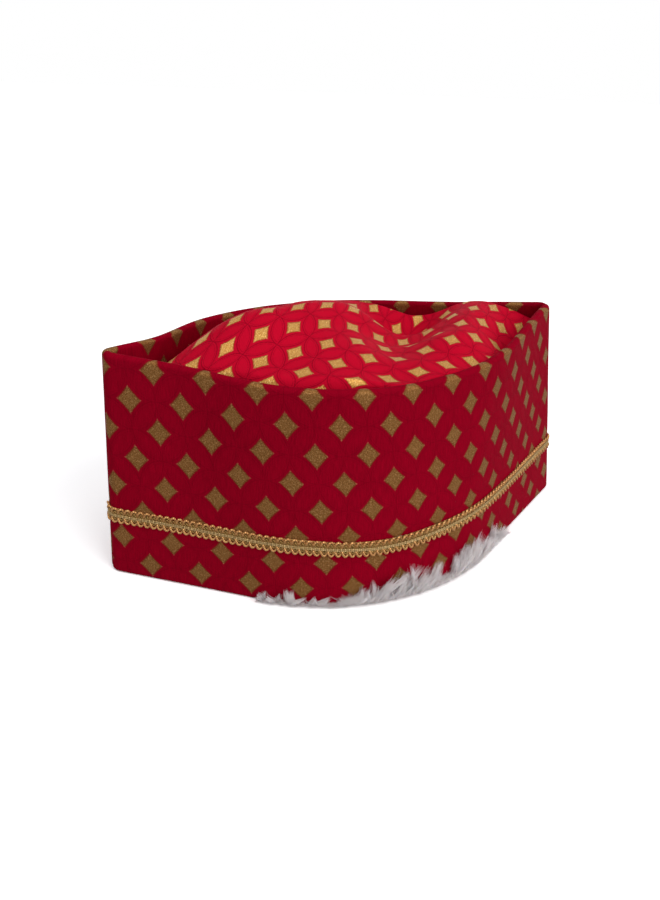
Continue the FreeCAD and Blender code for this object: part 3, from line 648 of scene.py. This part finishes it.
shell = crown_layer("crown_shell", "brocade", 0.0, 0.6, "crown_interlining",
                    lattice=lattice_of_crown(crown_x, crown_y, crown_outward, crown_drop))
shell.data.materials[0] = crown_brocade_lit
crown_layer("crown_interlining", "interlining", 2.1, 0.8, "crown_lining")
crown_layer("crown_lining", "satin_lining", 5.1, 0.5, "crown_seam_tape")

# ---------------------------------------------------------------- linings and tapes inside the band


def wall_sheet(name, slot, low, high, inset, thickness, q_range=(0.0, 2.0), tip=None, waves=0.25,
               rows=24, step=1.6):
    """A sheet inside the band between two heights, or up into the fold at the rim if high is None.

    It is a whole ring if q_range spans both sides."""
    whole = q_range[1] - q_range[0] >= 1.999
    count = int((q_range[1] - q_range[0]) * SIDE_LENGTH / step)
    q = np.linspace(*q_range, count, endpoint=not whole)
    up = np.linspace(0, 1, rows)[:, None]
    if high is None:
        high = rim_height(wall_point(q, RIM_LEVEL)[0][:, 0]) - 1.5
    z = low + (high - low) * up + 0 * q
    q = q + 0 * z
    point, normal = wall_point(q, z, inset, tip)
    push = waves * (bumps(point, 19.0, 7.0) + 0.5 * bumps(point, 6.0, 2.0))
    rag = 0.3 * bumps(point * (1, 1, 0), 7.0, 8.0) * np.abs(2 * up - 1) ** 4
    point = point - normal * np.maximum(push, -0.05)[..., None]
    point[..., 2] += rag
    made = mesh_object(name, point, grid_faces(*z.shape, wrap_columns=whole), slot, [name],
                       cloth=np.stack([q * SIDE_LENGTH, z, 0 * z], -1))
    thicken(made, thickness, offset=1.0)


for side, span in (("left", (0.002, 0.998)), ("right", (1.002, 1.998))):
    wall_sheet(f"band_stiffener_{side}", "buckram", 1.4, None, COVER + LAYER_GAP, 0.9, span,
               waves=0.0, rows=40)
    wall_sheet(f"band_lining_{side}", "cotton_lining", 13.4, 79.6, LINING_INSET, 0.4, span)
wall_sheet("crown_seam_tape", "seam_tape", 57.3, 69.1, TAPE_INSET, 0.4, waves=0.12, rows=8)
for end, span in (("front", (-0.05, 0.05)), ("rear", (0.95, 1.05))):
    wall_sheet(f"{end}_seam_tape", "seam_tape", 13.2, 56.7, TAPE_INSET, 0.4, span, waves=0.1,
               rows=20, step=0.8)

# ---------------------------------------------------------------- plush band inside the hem

PLUSH_TIP = 13.0  # the plush band's radius at the points, as it would be on the band's outer face


def plush_tip(inset):
    return PLUSH_TIP - inset


def along_wall(normal):
    """Level directions along the wall, across its normals."""
    return np.stack([-normal[:, 1], normal[:, 0], 0 * normal[:, 0]], -1)


wall_sheet("plush_band_backing", "plush_backing", 2.2, 35.8, BACKING_INSET, 0.7,
           tip=plush_tip(BACKING_INSET), waves=0.1, rows=14)


def strands(name, roots, first, second, widths, replaces=()):
    """A coat of tapering, bending strands. first and second are the two legs of each strand's bend."""
    count, sides, segments = len(roots), 3, 4
    t = np.linspace(0, 1, segments + 1)[None, :, None]
    bend = roots[:, None] + 2 * t * (1 - t) * first[:, None] + t * t * (first + second)[:, None]
    tangent = first[:, None] * (1 - t) + second[:, None] * t
    tangent /= np.linalg.norm(tangent, axis=-1, keepdims=True)
    across = np.cross(tangent, rng.normal(size=(count, 1, 3)))
    across /= np.linalg.norm(across, axis=-1, keepdims=True)
    up = np.cross(tangent, across)
    thick = widths[:, None, None] * (1 - 0.92 * t**1.5) / 2
    angle = np.linspace(0, 2 * pi, sides, endpoint=False)
    ring = [bend + thick * (cos(v) * across + sin(v) * up) for v in angle]
    points = np.stack(ring, 2)
    face = grid_faces(segments + 1, sides, wrap_columns=True)
    faces = (face[None] + (np.arange(count) * (segments + 1) * sides)[:, None, None]).reshape(-1, 4)
    place = np.broadcast_to(t[..., None], points.shape[:3] + (1,))
    own = np.broadcast_to(rng.random((count, 1, 1, 1)), place.shape)
    cloth = np.concatenate([place, own, 0 * own], -1)
    return mesh_object(name, points, faces, "plush_pile", replaces, cloth=cloth)


def plush_pile():
    """Pile brushed down over the backing."""
    count = 5200
    q = rng.random(count) * 2
    z = 4.5 + 25.0 * rng.random(count)
    root, normal = wall_point(q, z, PILE_INSET, plush_tip(PILE_INSET))
    clump = bumps(root, 9.0, 3.0)
    inward = -normal * (1.2 + 0.9 * rng.random(count))[:, None]
    lean = along_wall(normal) * (clump * 2.4 + rng.normal(size=count) * 0.5)[:, None]
    length = 5.0 + 4.0 * rng.random(count)
    down = np.zeros((count, 3))
    down[:, 2] = -np.minimum(length, z - 0.6)
    first = inward + 0.35 * down + 0.3 * lean
    second = 0.45 * inward + 0.65 * down + 0.7 * lean
    return strands("plush_pile", root, first, second, 0.55 + 0.3 * rng.random(count), ["plush_band_pile"])


plush_pile()

# each tuft that comes out under the hem: place along the wall, spread, strands, length, lean along the wall
TUFTS = (
    (0.265, 0.014, 180, 6.0, 0.1), (0.300, 0.014, 300, 9.0, 0.3), (0.340, 0.014, 220, 6.5, 0.5),
    (0.400, 0.010, 240, 11.0, 0.9), (0.430, 0.010, 340, 17.0, 0.8), (0.462, 0.011, 340, 18.0, 0.8),
    (0.495, 0.012, 360, 20.0, 0.7), (0.528, 0.010, 260, 18.0, 0.5),
    (0.592, 0.010, 360, 19.0, 0.2), (0.622, 0.010, 400, 21.0, 0.1), (0.655, 0.011, 340, 18.0, 0.1),
    (0.700, 0.011, 300, 15.0, 0.1), (0.738, 0.010, 200, 11.0, 0.0),
    (1.220, 0.020, 180, 6.0, 0.3), (1.360, 0.020, 240, 8.0, -0.3), (1.520, 0.020, 220, 7.0, 0.2),
    (1.690, 0.018, 160, 6.0, 0.0),
)
# each stretch of the low fringe under the hem: first and last place along the wall, strands, length
FRINGES = ((0.25, 0.39, 600, 3.0), (0.36, 0.77, 4200, 6.0), (1.10, 1.85, 1200, 2.5))


def tuft(place, spread, count, length, lean):
    """Roots and both legs of one tuft's strands. They cling together in locks, which share their lean."""
    locks = max(4, count // 40)
    own = rng.integers(0, locks, count)
    middle = (place + spread * rng.normal(size=locks))[own]
    q = middle + 0.0035 * rng.normal(size=count)
    root, normal = wall_point(q, np.full(count, 0.35), 3.0 - 3.2 * rng.random(count))
    along = along_wall(normal)
    fade = np.exp(-(((middle - place) / (2.2 * spread)) ** 2))
    rise = length * (0.6 + 0.5 * rng.random(locks))[own] * (0.8 + 0.25 * rng.random(count)) * fade
    out = normal * ((2.2 + 2.6 * rng.random(locks))[own] + 0.5 * rng.random(count))[:, None]
    up = np.zeros((count, 3))
    up[:, 2] = rise
    tilt = lean * 0.5 + (0.3 * rng.normal(size=locks))[own] + 0.05 * rng.normal(size=count)
    slant = along * (rise * tilt)[:, None]
    gather = along * (-0.75 * (q - middle) * SIDE_LENGTH)[:, None]
    return root, out + 0.18 * up + 0.15 * slant, 0.15 * out + 0.8 * up + 0.85 * slant + gather


def fringe(low, high, count, length):
    """Roots and both legs of the strands of one stretch of the low fringe."""
    q = low + (high - low) * rng.random(count)
    root, normal = wall_point(q, np.full(count, 0.4), 2.0 - 3.4 * rng.random(count))
    ends = smooth(0, 0.03, q - low) * smooth(0, 0.03, high - q)
    ragged = 1 + 0.35 * bumps(root * (1, 1, 0), 9.0, 6.0)
    rise = length * (0.5 + 0.5 * rng.random(count)) * ragged * (0.25 + 0.75 * ends)
    up = np.zeros((count, 3))
    up[:, 2] = rise
    out = normal * (1.6 + 1.6 * rng.random(count))[:, None]
    slant = along_wall(normal) * (rise * 0.4 * rng.normal(size=count))[:, None]
    return root, out + 0.3 * up + 0.3 * slant, 0.1 * out + 0.7 * up + 0.7 * slant


def plush_tufts():
    """Pile that has worked its way out under the hem and stands up in front of it."""
    parts = [tuft(*row) for row in TUFTS] + [fringe(*row) for row in FRINGES]
    roots, first, second = (np.concatenate(part) for part in zip(*parts))
    return strands("plush_tufts", roots, first, second, 0.26 + 0.16 * rng.random(len(roots)))


plush_tufts()

# ---------------------------------------------------------------- gimp braid

BRAID_SIDE = 294.0  # the braid's length along one side of the band
BRAID_LENGTH = 2 * BRAID_SIDE
LOOPS = int(BRAID_LENGTH / 3.2)
PITCH = BRAID_LENGTH / LOOPS


def braid_point(u, v, out):
    """A point of the braid: u mm along it, v mm above its middle, out mm off the band's face."""
    u, v, out = np.broadcast_arrays(u, v, out)
    share = u / BRAID_LENGTH * 2
    sag = 2.2 * np.exp(-(((share - 0.44) / 0.1) ** 2))  # it was sewn on by eye
    point, normal = wall_point(share, BRAID_Z - sag + v, 0.0)
    # a flat braid cannot follow the face's slack patches, so it bridges them
    return point + normal * out[..., None], normal


def braid_ribs(u, v):
    """How high the weave's ribs, which slant outwards from the braid's middle, stand there, from 0 to 1."""
    return np.abs(np.sin(pi * (u - 0.75 * np.abs(v)) / 1.5))


def braid_ground():
    """A woven strip."""
    count, across = 2352, 17
    u = np.linspace(0, BRAID_LENGTH, count, endpoint=False)[None, :]
    v = np.linspace(-3.35, 3.35, across)[:, None]
    out = 0.28 + 0.4 * braid_ribs(u, v) ** 0.7 * (1 - (np.abs(v) / 3.4) ** 2)
    point, _ = braid_point(u, v + 0.1 * np.sin(u * 0.21), out)
    place = np.stack(np.broadcast_arrays(u * 1.0, v * 0.9, 0 * u * v), -1)
    made = mesh_object("braid_ground", point, grid_faces(across, count, wrap_columns=True), "gold_braid",
                       ["braid_ground"], cloth=place)
    thicken(made, 0.25)


def wavy_threads(name, slot, lines, radius, sides, replaces=()):
    """Closed threads on the braid. Each line is the arrays u, v and out of one thread."""
    points, faces, places, start = [], [], [], 0
    for u, v, out in lines:
        path, normal = braid_point(u, v, out)
        points.append(tube_grid(path, normal, radius, sides, closed=True).reshape(-1, 3))
        faces.append(grid_faces(len(path), sides, wrap_rows=True, wrap_columns=True) + start)
        steps = np.linalg.norm(np.roll(path, -1, 0) - path, axis=1)
        turn = np.linspace(0, 2, sides, endpoint=False)[None, :]
        place = np.stack(np.broadcast_arrays(np.cumsum(steps)[:, None], turn, 0 * turn), -1)
        places.append(place.reshape(-1, 3))
        start += len(points[-1])
    return mesh_object(name, np.concatenate(points), np.concatenate(faces), slot, replaces,
                       cloth=np.concatenate(places))


def cord(name, height):
    """A thin two-ply cord laid along the braid."""
    count, sides, thread, twist = 2600, 8, 0.28, 3.4
    u = np.linspace(0, BRAID_LENGTH, count, endpoint=False)
    path, normal = braid_point(u, height + 0.06 * np.sin(u * 0.33), 0.98)
    angle = np.linspace(0, 2 * pi, sides, endpoint=False)[None, :]
    radius = thread * (1 + 0.4 * np.cos(2 * (angle - u[:, None] * 2 * pi / twist)))
    points = tube_grid(path, normal, radius, sides, closed=True)
    place = np.stack(np.broadcast_arrays(u[:, None], angle / pi, 0 * angle), -1)
    return mesh_object(name, points, grid_faces(count, sides, wrap_rows=True, wrap_columns=True), "gold_cord",
                       [name], cloth=place)


def picots(name, sign):
    """A row of loops along one edge of the braid: one cord that turns back on itself at each loop."""
    t = np.linspace(0, LOOPS * 2 * pi, LOOPS * 20, endpoint=False)
    own = bumps(np.stack([np.floor(t / (2 * pi)) * 3.7, 0 * t, 0 * t], -1), 1.0, 4.0)
    u = PITCH * t / (2 * pi) - 0.32 * np.sin(t)
    v = sign * (2.45 - (1.1 + 0.12 * own) * np.cos(t))
    out = 0.85 + 0.32 * np.sin(t) - 0.15 * np.cos(t) + 0.12 * own
    return wavy_threads(name, "gold_loops", [(u, v, out)], 0.58, 7, [name])


def crossing_threads():
    """Threads that run to and fro between the middle and the loops, over and under each other."""
    lines = []
    t = np.linspace(0, LOOPS * 2 * pi, LOOPS * 12, endpoint=False)
    for sign in (1, -1):
        for phase in (0.0, pi):
            u = PITCH * t / (2 * pi)
            v = sign * (1.15 + 0.95 * np.cos(t + phase))
            lines.append((u, v, 0.74 + 0.24 * np.sin(t + phase + 0.8)))
    return wavy_threads("braid_crossing_threads", "gold_braid", lines, 0.36, 6)


crossing_threads()
braid_ground()
cord("braid_cord_upper", 0.12)
cord("braid_cord_lower", -0.62)
picots("braid_loops_upper", 1)
picots("braid_loops_lower", -1)


def braid_join():
    """The braid's end, folded under and laid over its start, on the right side near the rear point."""
    length, half_width = 9.0, 4.6
    low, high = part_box("braid_join_wrap")
    # its middle is where the CAD has it
    search = np.linspace(1.02, 1.4, 600)
    found, _ = wall_point(search, np.full(600, BRAID_Z), 0.0)
    middle = search[np.argmin(np.abs(found[:, 0] - (low.x + high.x) / 2 / MM))]
    q, v = np.meshgrid(middle + np.linspace(-0.5, 0.5, 22) * length / BRAID_SIDE,
                       np.linspace(-half_width, half_width, 26))
    u = q * BRAID_SIDE
    edge = (1 - (np.abs(v) / 4.7) ** 6) * (1 - (np.abs(q - middle) * BRAID_SIDE / 4.6) ** 8)
    point, normal = wall_point(q, BRAID_Z + v, 0.0)
    point = point + normal * (1.75 + 0.55 * edge + 0.28 * braid_ribs(u, v) * edge)[..., None]
    made = mesh_object("braid_join_wrap", point, grid_faces(*q.shape), "gold_braid", ["braid_join_wrap"],
                       cloth=np.stack([u, v * 0.9, 0 * u], -1))
    thicken(made, 0.45)


braid_join()

# ---------------------------------------------------------------- thread


STITCH_LENGTH, STITCH_RADIUS = 3.2, 0.24


def stitches(name, z, inset, tip, count):
    """A row of short stitches along each side, each sunk at both ends."""
    sides, steps = 6, 7
    t = np.linspace(-1, 1, steps)
    run = t * STITCH_LENGTH / 2
    sag = 0.28 * (1 - t**2)
    radius = np.sqrt(np.clip(1.02 - t**6, 0.02, 1))[:, None] * STITCH_RADIUS
    turn = np.linspace(0, 1, sides, endpoint=False)[None, :]
    points, faces, places = [], [], []
    for side in (0, 1):
        slant = 0.25 * t * (1 if side else -1)
        for k in range(count):
            centre, normal = wall_point(side + 0.02 + 0.96 * (k + 0.5) / count, z, inset, tip)
            tangent = np.array([-normal[1], normal[0], 0.0])
            path = centre + tangent * run[:, None] - normal * sag[:, None]
            path[:, 2] += slant
            faces.append(grid_faces(steps, sides, wrap_columns=True) + len(points) * steps * sides)
            points.append(tube_grid(path, np.broadcast_to(normal, path.shape), radius, sides))
            places.append(np.stack(np.broadcast_arrays(run[:, None] + k * 4.0, turn, 0 * turn), -1))
    return mesh_object(name, np.concatenate(points), np.concatenate(faces), "thread", [name],
                       cloth=np.concatenate(places))


stitches("plush_band_stitches", 33.0, BACKING_INSET + 1.05, plush_tip(BACKING_INSET + 1.05), 45)
stitches("crown_seam_stitches", 63.2, TAPE_INSET + 0.6, TIP - TAPE_INSET - 0.6, 48)

# ---------------------------------------------------------------- studio


FLOOR_REACH, FLOOR_DROP = 4.0, 0.0005  # metres; the covers' cloth reaches a little under Z = 0


def diffuse(nodes, grey):
    made = nodes.new("ShaderNodeBsdfDiffuse")
    made.inputs[0].default_value = (grey, grey, grey, 1)
    return made


def background(nodes, colour, strength):
    made = nodes.new("ShaderNodeBackground")
    made.inputs[0].default_value, made.inputs[1].default_value = colour, strength
    return made


def studio_floor():
    """A pale floor. It lights the cap as a grey one would, and the camera sees it nearly white."""
    mesh = bpy.data.meshes.new("studio_floor")
    corners = [(-1, -1), (1, -1), (1, 1), (-1, 1)]
    mesh.from_pydata([(x * FLOOR_REACH, y * FLOOR_REACH, 0) for x, y in corners], [], [(0, 1, 2, 3)])
    floor = bpy.data.objects.new("studio_floor", mesh)
    floor.location.z = -FLOOR_DROP
    bpy.context.scene.collection.objects.link(floor)
    ground = bpy.data.materials.new("studio_floor")
    ground.use_nodes = True
    nodes, links = ground.node_tree.nodes, ground.node_tree.links
    nodes.clear()
    seen, lit = diffuse(nodes, 1.45), diffuse(nodes, 0.65)
    path, choose = nodes.new("ShaderNodeLightPath"), nodes.new("ShaderNodeMixShader")
    out = nodes.new("ShaderNodeOutputMaterial")
    links.new(path.outputs["Is Camera Ray"], choose.inputs[0])
    links.new(lit.outputs[0], choose.inputs[1])
    links.new(seen.outputs[0], choose.inputs[2])
    links.new(choose.outputs[0], out.inputs[0])
    mesh.materials.append(ground)


def studio_world():
    """White where it is seen, directly, mirrored or through something, and soft where it lights the cap."""
    world = bpy.data.worlds.new("studio")
    bpy.context.scene.world = world
    world.use_nodes = True
    nodes, links = world.node_tree.nodes, world.node_tree.links
    nodes.clear()
    path = nodes.new("ShaderNodeLightPath")
    glossy, either = nodes.new("ShaderNodeMath"), nodes.new("ShaderNodeMath")
    glossy.operation = either.operation = "MAXIMUM"
    soft = background(nodes, (0.95, 0.96, 1.0, 1), 0.3)
    white = background(nodes, (1, 1, 1, 1), 1.0)
    choose, out = nodes.new("ShaderNodeMixShader"), nodes.new("ShaderNodeOutputWorld")
    links.new(path.outputs["Is Camera Ray"], glossy.inputs[0])
    links.new(path.outputs["Is Glossy Ray"], glossy.inputs[1])
    links.new(glossy.outputs[0], either.inputs[0])
    links.new(path.outputs["Is Transmission Ray"], either.inputs[1])
    links.new(either.outputs[0], choose.inputs[0])
    links.new(soft.outputs[0], choose.inputs[1])
    links.new(white.outputs[0], choose.inputs[2])
    links.new(choose.outputs[0], out.inputs[0])


def sun(name, towards, angle, strength):
    data = bpy.data.lights.new(name, "SUN")
    data.angle, data.energy = math.radians(angle), strength
    made = bpy.data.objects.new(name, data)
    made.rotation_euler = Vector(towards).to_track_quat("-Z", "Y").to_euler()
    bpy.context.scene.collection.objects.link(made)


CAMERA_PLACE = (-0.1706, -0.3247, 0.2313)
FOCAL_SHARE = 781.0 / 900.0  # focal length as a share of the picture's long side


def camera():
    """The camera stands over the left side, in front of the middle, and is tilted a little about its axis."""
    heading, pitch, roll = math.radians(25.38), math.radians(27.3), math.radians(3.4)
    level = Vector((sin(heading), cos(heading), 0))
    up = Vector((0, 0, 1))
    forward = level * cos(pitch) - up * sin(pitch)
    right_0 = Vector((cos(heading), -sin(heading), 0))
    up_0 = level * sin(pitch) + up * cos(pitch)
    right = right_0 * cos(roll) + up_0 * sin(roll)
    up = up_0 * cos(roll) - right_0 * sin(roll)
    data = bpy.data.cameras.new("camera")
    data.sensor_fit = "AUTO"
    data.sensor_width = 36.0
    data.lens = data.sensor_width * FOCAL_SHARE
    data.clip_start, data.clip_end = 0.01, 20.0
    made = bpy.data.objects.new("camera", data)
    turned = Matrix((right, up, -forward)).transposed().to_4x4()
    made.matrix_world = Matrix.Translation(CAMERA_PLACE) @ turned
    bpy.context.scene.collection.objects.link(made)
    bpy.context.scene.camera = made


studio_floor()
studio_world()
sun("key", (0.2, 0.28, -1.0), 50.0, 1.3)
sun("fill", (-0.5, 0.75, -0.45), 60.0, 1.6)
camera()
bpy.context.scene.view_settings.view_transform = "Standard"
